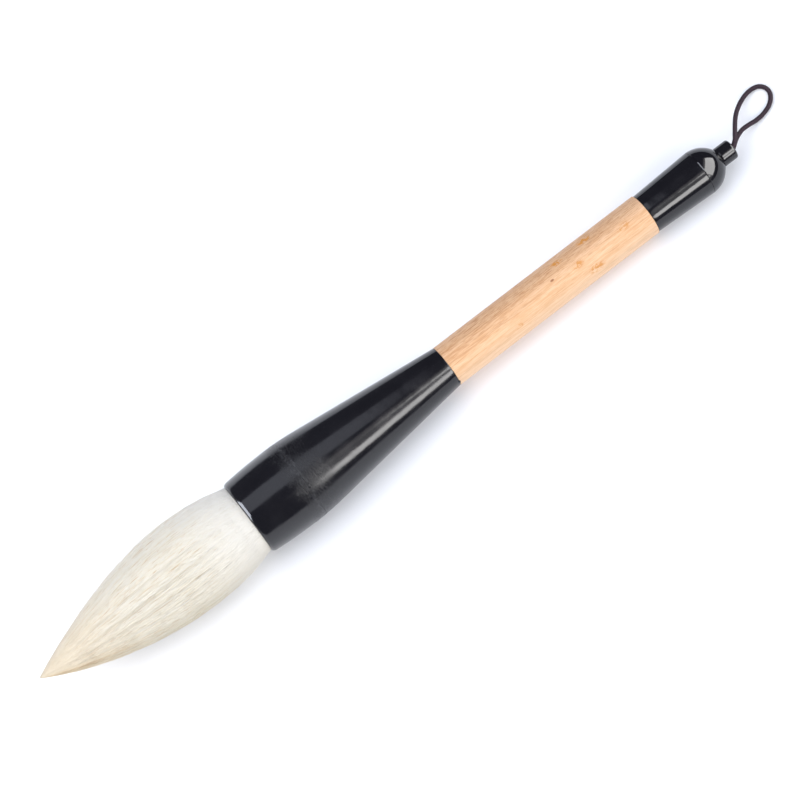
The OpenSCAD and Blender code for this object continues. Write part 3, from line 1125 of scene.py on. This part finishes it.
@dataclass
class GoatHairTuft:
    """The tuft: a solid bundle under thousands of separate tapered hairs, gathered in fine locks."""

    axis: BrushAxis
    outline: TuftOutline = field(default_factory=TuftOutline)
    locks: int = 300
    lock_spread: float = 1.1
    lock_lift_spread: float = 0.0022
    lock_turn_spread: float = 0.035
    hair_radius: float = 0.10 * MM
    long_share: float = 0.42
    wander: float = 0.09 * MM
    streaked_share: float = 0.25
    root_depth: float = 2.2 * MM
    clearance: float = 0.05 * MM
    tan_angle: float = math.radians(254)
    tan_half: float = 0.16
    tan_depth: float = 0.38
    bundle_end: float = 0.93
    bundle_share: float = 0.978
    bundle_slack: float = 0.30 * MM
    bend_from: float = 2.5 * MM
    bend_to: float = -55 * MM
    seed: int = 20

    def __post_init__(self) -> None:
        """Draws the locks that every layer of hair shares."""
        draw = np.random.default_rng(self.seed)
        offsets = draw.uniform(-0.5, 0.5, self.locks)
        self.lock_angle = (np.arange(self.locks) + offsets) * math.tau / self.locks
        self.lock_tone = draw.uniform(0.0, 1.0, self.locks)
        self.lock_lift = draw.normal(0.0, self.lock_lift_spread, self.locks)
        self.lock_turn = draw.normal(0.0, self.lock_turn_spread, self.locks)

    def place(self, reach: np.ndarray, radius: np.ndarray, angle: np.ndarray) -> np.ndarray:
        """Turns places in the tuft into points of the frame, none of them in the table.

        Args:
            reach: Distances from the mouth toward the tip.
            radius: Distances from the tuft's middle line.
            angle: Angles about it, from straight down toward +Y.

        Returns:
            The points, one row each.
        """
        own = np.stack([radius * np.cos(angle), radius * np.sin(angle) - self.outline.drift(reach), -reach,
                        np.ones_like(reach)], axis=-1)
        points = (own.reshape(-1, 4) @ np.array(self.axis.matrix).T)[:, :3]
        points[:, 2] = np.maximum(points[:, 2], self.clearance)
        return points

    @staticmethod
    def template() -> bpy.types.Mesh:
        """Makes one straight three-sided hair of unit size.

        Returns:
            The mesh, with a ring of points at each of the levels along it.
        """
        bm = bmesh.new()
        bmesh.ops.create_cone(bm, cap_ends=True, cap_tris=False, segments=3, radius1=1.0, radius2=1.0,
                              depth=1.0, matrix=Matrix.Translation((0.0, 0.0, 0.5)))
        for level in HAIR_RINGS:
            bmesh.ops.bisect_plane(bm, geom=bm.verts[:] + bm.edges[:] + bm.faces[:], dist=1e-7,
                                   plane_co=(0.0, 0.0, level), plane_no=(0.0, 0.0, 1.0))
        mesh = bpy.data.meshes.new("hair_template")
        bm.to_mesh(mesh)
        bm.free()
        return mesh

    def copies(self, layer: HairLayer) -> tuple[bpy.types.Mesh, np.ndarray]:
        """Repeats the hair for each hair of a layer, all in one place.

        Args:
            layer: The layer.

        Returns:
            The mesh of all hairs, and the points of one hair.
        """
        template = self.template()
        source = add_object(layer.name + "_template", template)
        copies = source.modifiers.new("copies", "ARRAY")
        copies.use_relative_offset = False
        copies.count = layer.count
        mesh = bpy.data.meshes.new_from_object(source.evaluated_get(bpy.context.evaluated_depsgraph_get()))
        corner = np.array([tuple(v.co) for v in template.vertices])
        bpy.data.objects.remove(source)
        bpy.data.meshes.remove(template)
        return mesh, corner

    def strands(self, layer: HairLayer) -> Strands:
        """Draws the hairs of a layer.

        Args:
            layer: The layer.

        Returns:
            What is drawn for its hairs.
        """
        draw = np.random.default_rng(self.seed + layer.seed)
        rows = (layer.count, 1)
        lock = draw.integers(0, self.locks, rows)
        angle = self.lock_angle[lock] + draw.normal(0.0, self.lock_spread * math.tau / self.locks, rows)
        share = layer.low + (layer.high - layer.low) * draw.uniform(0.0, 1.0, rows) ** 0.8
        reach = np.where(draw.uniform(0.0, 1.0, rows) < self.long_share, draw.uniform(0.95, 1.0, rows),
                         draw.uniform(layer.shortest, 0.97, rows)) * self.outline.length
        wave, _ = draw.uniform(0.0, math.tau, (2, *rows))
        wander = draw.normal(0.0, self.wander, rows)
        stand = layer.lift * draw.uniform(0.0, 1.0, rows) ** 3
        width = self.hair_radius * draw.uniform(0.7, 1.15, rows)
        tone = np.clip(0.45 + 0.25 * self.lock_tone[lock] + draw.normal(0.0, 0.16, rows), 0, 1)
        streaked = draw.uniform(0.0, 1.0, rows) < self.streaked_share
        streak = np.where(streaked, draw.uniform(0.35, 0.75, rows), 0.0)
        streak_at = draw.uniform(0.2, 0.8, rows)
        streak_half = draw.uniform(0.05, 0.14, rows)
        return Strands(lock, angle, share, reach, wave, wander, stand, width, tone, streak, streak_at,
                       streak_half)

    def tones(self, drawn: Strands, free: np.ndarray, angle: np.ndarray) -> np.ndarray:
        """Works out the hairs' tones, with their streaks and the tan edge of the tuft.

        Args:
            drawn: What was drawn for the hairs.
            free: How far each point lies from the mouth, as a share of the tuft's length.
            angle: Each point's angle around the tuft.

        Returns:
            The tone at each point, from 0 for tan to 1 for nearly white.
        """
        window = np.exp(-((free - drawn.streak_at) / drawn.streak_half) ** 2)
        tan_side = np.exp(-((angle - self.tan_angle) / self.tan_half) ** 2)
        tan_reach = np.clip((free - 0.5) / 0.3, 0, 1)
        return np.clip(drawn.tone - drawn.streak * window - self.tan_depth * tan_side * tan_reach, 0, 1)

    def hairs(self, layer: HairLayer) -> bpy.types.Object:
        """Makes one piece of many hairs. Its arrays have a row for each hair and a column for each point.

        Args:
            layer: The layer.

        Returns:
            The piece, whose mesh says how far along a hair each point is, and the hair's tone there.
        """
        drawn = self.strands(layer)
        mesh, corner = self.copies(layer)
        t = np.broadcast_to(corner[:, 2], (layer.count, len(corner)))
        reach = (drawn.reach + self.root_depth) * t - self.root_depth
        free = np.clip(reach / self.outline.length, 0.0, 1.0)
        radius = self.outline.radius(reach) * (drawn.share + self.lock_lift[drawn.lock])
        radius = radius * (1.0 - 0.03 * t ** 6) + drawn.stand * np.sin(math.pi * free) ** 2
        gather = layer.pull * free ** 0.7
        angle = drawn.angle + (self.lock_angle[drawn.lock] - drawn.angle) * gather
        angle = angle + self.lock_turn[drawn.lock] * free ** 1.5
        waves = np.sin(2.2 * math.pi * free + drawn.wave) * np.sin(math.pi * np.minimum(free * 1.6, 1.0))
        angle = angle + drawn.wander * waves / np.maximum(radius, 4 * MM)
        taper = drawn.width * (1.0 - 0.7 * t ** 2.4 - 0.27 * t ** 40)
        radius = np.maximum(radius, 0.05 * MM) + taper * corner[:, 0]
        angle = angle + taper * corner[:, 1] / np.maximum(radius, 0.4 * MM)
        mesh.vertices.foreach_set("co", self.place(reach, radius, angle).ravel())
        self.store(mesh, "along", free)
        self.store(mesh, "tone", self.tones(drawn, free, angle))
        mesh.update()
        mesh.shade_smooth()
        return add_object(layer.name, mesh)

    def bundle(self) -> bpy.types.Object:
        """Makes the closed bundle under the separate hairs.

        Returns:
            The bundle.
        """
        end = self.bundle_end * self.outline.length
        reach = np.concatenate([np.linspace(0.0, 0.04, 24), np.linspace(0.042, end, 44)])
        radius = self.outline.radius(reach) * self.bundle_share - self.bundle_slack * (reach / end) ** 4
        line = [(0.0, 0.0), *zip(np.maximum(radius, 0.1 * MM), -reach), (0.0, -end)]
        bundle = turned("hair_bundle", [(float(r), float(s)) for r, s in line], self.axis, 144, closed=False)
        mesh = bundle.data
        points = np.empty(len(mesh.vertices) * 3)
        mesh.vertices.foreach_get("co", points)
        inverse = np.array(self.axis.matrix.inverted())
        own = np.hstack([points.reshape(-1, 3), np.ones((len(mesh.vertices), 1))]) @ inverse.T
        depth, angle = -own[:, 2], np.arctan2(own[:, 1], own[:, 0])
        across = np.hypot(own[:, 0], own[:, 1])
        mesh.vertices.foreach_set("co", self.place(depth, across, angle).ravel())
        order = np.floor((angle / math.tau + 0.5) * self.locks).astype(int) % self.locks
        self.store(mesh, "along", np.clip(depth / self.outline.length, 0, 1))
        self.store(mesh, "tone", 0.25 + 0.4 * self.lock_tone[order])
        mesh.update()
        return bundle

    @staticmethod
    def store(mesh: bpy.types.Mesh, name: str, values: np.ndarray) -> None:
        """Stores one number for each point of a mesh."""
        made = mesh.attributes.new(name, "FLOAT", "POINT")
        made.data.foreach_set("value", np.ascontiguousarray(values).ravel())

    def build(self) -> None:
        """Builds and dresses the tuft."""
        finish = GoatHair("goat_hair").shader()
        bundle = self.bundle()
        GoatHair("goat_hair_bundle", strand_bump=True).shader().dress(bundle)
        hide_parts("core_hair", "belly_hair")
        pieces = [bundle]
        for layer in HAIR_LAYERS:
            piece = self.hairs(layer)
            finish.dress(piece)
            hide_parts("outer_hair")
            pieces.append(piece)
        for piece in pieces:
            tuple(self.axis.at(self.bend_from))
            tuple(self.axis.at(self.bend_to))
            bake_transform(piece)
        log.info("tuft: %d pieces, %d hairs", len(pieces), sum(layer.count for layer in HAIR_LAYERS))


# ---------------------------------------------------------------------------------------------------------
# Ferrule


@dataclass(frozen=True)
class Ferrule:
    """The black ferrule: a crowned front cup with a rounded lip, and a long cone behind it."""

    axis: BrushAxis
    length: float = 97.8 * MM
    cup_length: float = 25.5 * MM
    cup_r: float = 17.1 * MM
    widest_at: float = 20.0 * MM
    crown_r: float = 213 * MM
    lip_round: float = 1.5 * MM
    lip_reach: float = 2.3 * MM
    bore_r: float = 13.8 * MM
    mouth_r: float = 14.6 * MM
    mouth_flare: float = 3.0 * MM
    spigot: float = 6.0 * MM
    neck_r: float = 8.95 * MM
    socket_r: float = 4.05 * MM
    socket_depth: float = 25.05 * MM
    seam: float = 0.06 * MM
    gap: float = 0.05 * MM
    edge: float = 0.3 * MM
    shoulder: float = 4.0 * MM
    bead_size: Triple = (1.1 * MM, 1.8 * MM, 1.0 * MM)
    bead_angle: float = -100.0
    bead_sunk: float = 0.1 * MM

    def radius(self, station: float) -> float:
        """Returns the cup's outer radius at a station."""
        return self.cup_r - (station - self.widest_at) ** 2 / (2 * self.crown_r)

    def cup(self) -> bpy.types.Object:
        """Builds the front cup.

        Returns:
            The cup, with a lip that is rounded further along the brush than across it.
        """
        rear = self.cup_length - self.seam
        lip = arc((self.radius(self.lip_reach) - self.lip_round, 0.0), self.lip_round, -90, 0, 16)
        stretch = self.lip_reach / self.lip_round
        outline = [(r, self.lip_reach + s * stretch) for r, s in lip]
        outline += [(self.radius(float(s)), float(s)) for s in np.linspace(self.lip_reach, rear, 25)[1:]]
        outline += [(self.radius(self.cup_length) - self.seam, self.cup_length),
                    (self.bore_r, self.cup_length), (self.bore_r, self.mouth_flare), (self.mouth_r, 0.0)]
        return turned("ferrule_cup_shell", outline, self.axis, 192)

    def cone(self) -> bpy.types.Object:
        """Builds the cone with its spigot and its socket.

        Returns:
            The cone, whose slope starts as the cup's own and eases over a shoulder to a straight one.
        """
        front = self.cup_length + self.gap
        seam_r = self.radius(self.cup_length)
        spigot_r = self.bore_r - self.gap
        socket = self.length - self.socket_depth
        first = seam_r - self.gap
        begin, run = front + self.seam, self.length - self.edge - front - self.seam
        lead = -(self.cup_length - self.widest_at) / self.crown_r
        slope = (self.neck_r - first - lead * self.shoulder) / (run - self.shoulder)
        outline = [(0.0, self.cup_length - self.spigot), (spigot_r, self.cup_length - self.spigot),
                   (spigot_r, front), (seam_r - self.seam - self.gap, front)]
        for u in np.linspace(0.0, 1.0, 49) ** 1.5 * run:
            turn = (lead - slope) * self.shoulder * (1.0 - math.exp(-u / self.shoulder))
            outline.append((first + slope * float(u) + turn, begin + float(u)))
        outline += arc((self.neck_r - self.edge, self.length - self.edge), self.edge, 0, 90, 5)
        outline += [(self.socket_r, self.length), (self.socket_r, socket), (0.0, socket)]
        return turned("ferrule_cone", outline, self.axis, 192, closed=False)

    def glue_bead(self) -> bpy.types.Object:
        """Builds the small bead of dark glue that shows at the handle's joint.

        Returns:
            The bead.
        """
        bm = bmesh.new()
        bmesh.ops.create_cube(bm, size=1.0)
        bmesh.ops.bevel(bm, geom=bm.edges[:], offset=0.46, affect="EDGES", segments=6, profile=0.5,
                        material=-1)
        bmesh.ops.scale(bm, vec=self.bead_size, verts=bm.verts)
        angle = math.radians(self.bead_angle)
        place = Vector((math.cos(angle), math.sin(angle), 0.0)) * (self.neck_r - self.bead_sunk)
        place.z = self.length - self.bead_sunk
        turn = Matrix.Rotation(angle, 4, "Z")
        bmesh.ops.transform(bm, matrix=self.axis.matrix @ Matrix.Translation(place) @ turn, verts=bm.verts)
        mesh = bpy.data.meshes.new("glue_bead")
        bm.to_mesh(mesh)
        bm.free()
        mesh.shade_smooth()
        return add_object("glue_bead", mesh)

    def build(self) -> None:
        """Builds and dresses the ferrule."""
        cup, cone, bead = self.cup(), self.cone(), self.glue_bead()
        finish = BlackLacquer("ferrule_lacquer", 0.15, scuffed_from=19.5 * MM, scuffed_to=37.0 * MM)
        finish.shader(self.axis).dress(cup, cone, bead)
        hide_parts("ferrule_cup")
        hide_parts("ferrule_body")
        for piece in (cup, cone, bead):
            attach(piece, Body.HANDLE.value)
        log.info("ferrule: cup, cone and glue bead")


# ---------------------------------------------------------------------------------------------------------
# Handle and tail


@dataclass(frozen=True)
class BambooHandle:
    """The straight bamboo tube between the ferrule and the tail."""

    axis: BrushAxis
    start: float = 97.85 * MM
    end: float = 196.65 * MM
    radius: float = 8.92 * MM
    bore_r: float = 4.05 * MM
    edge: float = 0.12 * MM

    def build(self) -> None:
        """Builds and dresses the handle."""
        outline = [(self.bore_r, self.start), (self.radius - self.edge, self.start)]
        outline += [(self.radius, float(s))
                    for s in np.linspace(self.start + self.edge, self.end - self.edge, 30)]
        outline += [(self.radius - self.edge, self.end), (self.bore_r, self.end)]
        handle = turned("bamboo_tube", outline, self.axis, 144)
        SatinBamboo(self.radius).shader(self.axis).dress(handle)
        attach(handle, Body.HANDLE.value)
        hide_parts("bamboo_handle")
        log.info("handle: bamboo tube")


@dataclass(frozen=True)
class Tail:
    """The black tail: a flared sleeve, a dome and a bored knob."""

    axis: BrushAxis
    start: float = 196.7 * MM
    sleeve_length: float = 27.2 * MM
    front_r: float = 8.55 * MM
    rear_r: float = 9.7 * MM
    dome_length: float = 9.8 * MM
    knob_r: float = 4.25 * MM
    knob_round: float = 0.9 * MM
    bore_r: float = 1.95 * MM
    countersink_r: float = 3.0 * MM
    countersink_depth: float = 2.0 * MM
    socket_r: float = 4.05 * MM
    socket_depth: float = 14.0 * MM
    hollow_r: float = 6.5 * MM
    spigot_wall: float = 1.3 * MM
    spigot_length: float = 4.0 * MM
    stem_r: float = 3.0 * MM
    stem_depth: float = 3.9 * MM
    stem_hole_depth: float = 4.9 * MM
    edge: float = 0.35 * MM
    seam: float = 0.15 * MM
    gap: float = 0.05 * MM

    @property
    def seam_at(self) -> float:
        """Station of the seam between the sleeve and the dome."""
        return self.start + self.sleeve_length

    @property
    def dome_end(self) -> float:
        """Station at which the knob stands on the dome."""
        return self.seam_at + self.dome_length

    def sleeve(self) -> bpy.types.Object:
        """Builds the flared sleeve with its two sockets.

        Returns:
            The sleeve.
        """
        hollow = self.seam_at - self.spigot_length - 4 * self.gap
        flare, run = self.rear_r - self.front_r, self.sleeve_length - self.edge - self.seam
        outline = [(0.0, self.start + self.socket_depth), (self.socket_r, self.start + self.socket_depth),
                   (self.socket_r, self.start)]
        outline += arc((self.front_r - self.edge, self.start + self.edge), self.edge, -90, 0, 6)
        outline += [(self.front_r + flare * i / 16, self.start + self.edge + run * i / 16)
                    for i in range(1, 17)]
        outline += [(self.rear_r - self.seam, self.seam_at), (self.hollow_r, self.seam_at),
                    (self.hollow_r, hollow), (0.0, hollow)]
        return turned("tail_sleeve_shell", outline, self.axis, 160, closed=False)

    def dome(self) -> bpy.types.Object:
        """Builds the dome with its spigot.

        Returns:
            The dome, an arc from the sleeve's rim to the knob's foot.
        """
        foot_r = self.knob_r - self.seam
        drop = self.rear_r - foot_r
        radius = (self.dome_length ** 2 + drop ** 2) / (2 * drop)
        last = math.degrees(math.asin(self.dome_length / radius))
        front = self.seam_at + self.gap
        outer = self.hollow_r - self.gap
        inner = outer - self.spigot_wall
        floor = self.dome_end - self.stem_hole_depth
        hole_r = self.stem_r + self.gap
        outline = [(inner, self.seam_at - self.spigot_length), (outer, self.seam_at - self.spigot_length),
                   (outer, front), (self.rear_r - self.seam, front)]
        outline += arc((self.rear_r - radius, self.seam_at), radius, 1.2, last, 24)
        outline += [(hole_r, self.dome_end), (hole_r, floor), (inner, floor)]
        return turned("tail_dome_shell", outline, self.axis, 160)

    def knob(self) -> bpy.types.Object:
        """Builds the knob with its stem and its countersunk bore.

        Returns:
            The knob, with rings along its side that keep its reflections straight.
        """
        end = self.axis.knob_end
        front = self.dome_end + self.gap
        stem = self.dome_end - self.stem_depth
        rings = np.linspace(front + 2 * self.seam, end - self.knob_round, 14)[:-1]
        outline = [(self.bore_r, stem), (self.stem_r, stem), (self.stem_r, front),
                   (self.knob_r - self.seam, front)]
        outline += [(self.knob_r, float(s)) for s in rings]
        outline += arc((self.knob_r - self.knob_round, end - self.knob_round), self.knob_round, 0, 90, 10)
        outline += [(self.countersink_r, end), (self.bore_r, end - self.countersink_depth)]
        return turned("hanger_knob_shell", outline, self.axis, 96)

    def build(self) -> None:
        """Builds and dresses the tail."""
        finish = BlackLacquer("tail_lacquer", 0.10).shader(self.axis)
        for piece, node in ((self.sleeve(), "tail_sleeve"), (self.dome(), "tail_dome"),
                            (self.knob(), "hanger_knob")):
            finish.dress(piece)
            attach(piece, Body.HANDLE.value)
            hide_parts(node)
        log.info("tail: sleeve, dome and knob")


@dataclass(frozen=True)
class InnerPieces:
    """The pieces inside the brush, which keep their CAD shapes."""

    axis: BrushAxis
    nodes: dict[str, bpy.types.Object]

    def build(self) -> None:
        """Dresses the pieces inside the brush."""
        wood = HiddenStuff("dowel_grain", (0.42, 0.27, 0.14, 1), (0.66, 0.47, 0.28, 1), 0.6, 0.06)
        resin = HiddenStuff("amber_resin", (0.20, 0.07, 0.012, 1), (0.40, 0.19, 0.05, 1), 0.25, 1.0)
        roots = HiddenStuff("hair_roots", (0.66, 0.57, 0.42, 1), (0.90, 0.84, 0.72, 1), 0.6, 0.03)
        thread = TwistedFibre("binding_thread", (0.50, 0.43, 0.30, 1), (0.78, 0.72, 0.58, 1))
        cord = TwistedFibre("cord_knot", (0.020, 0.010, 0.011, 1), (0.10, 0.06, 0.058, 1))
        wood.shader(self.axis).dress(self.nodes["front_dowel"], self.nodes["rear_dowel"])
        resin.shader(self.axis).dress(self.nodes["root_resin"])
        roots.shader(self.axis).dress(self.nodes["hair_root"])
        thread.shader().dress(self.nodes["root_thread"])
        cord.shader().dress(self.nodes["loop_knot"])
        log.info("inner pieces: 5 finishes")


def main() -> None:
    """Builds the camera and the cord, then the rest of the brush."""
    logging.basicConfig(level=logging.INFO, format="%(name)s: %(message)s")
    axis = BrushAxis.from_joints(frame["joints"])
    studio = Studio(axis)
    studio.camera()
    HangingLoop(axis).build()
    studio.table()
    studio.lights()
    GoatHairTuft(axis).build()
    Ferrule(axis).build()
    BambooHandle(axis).build()
    Tail(axis).build()
    InnerPieces(axis, frame["nodes"]).build()


if __name__ == "__main__":
    main()
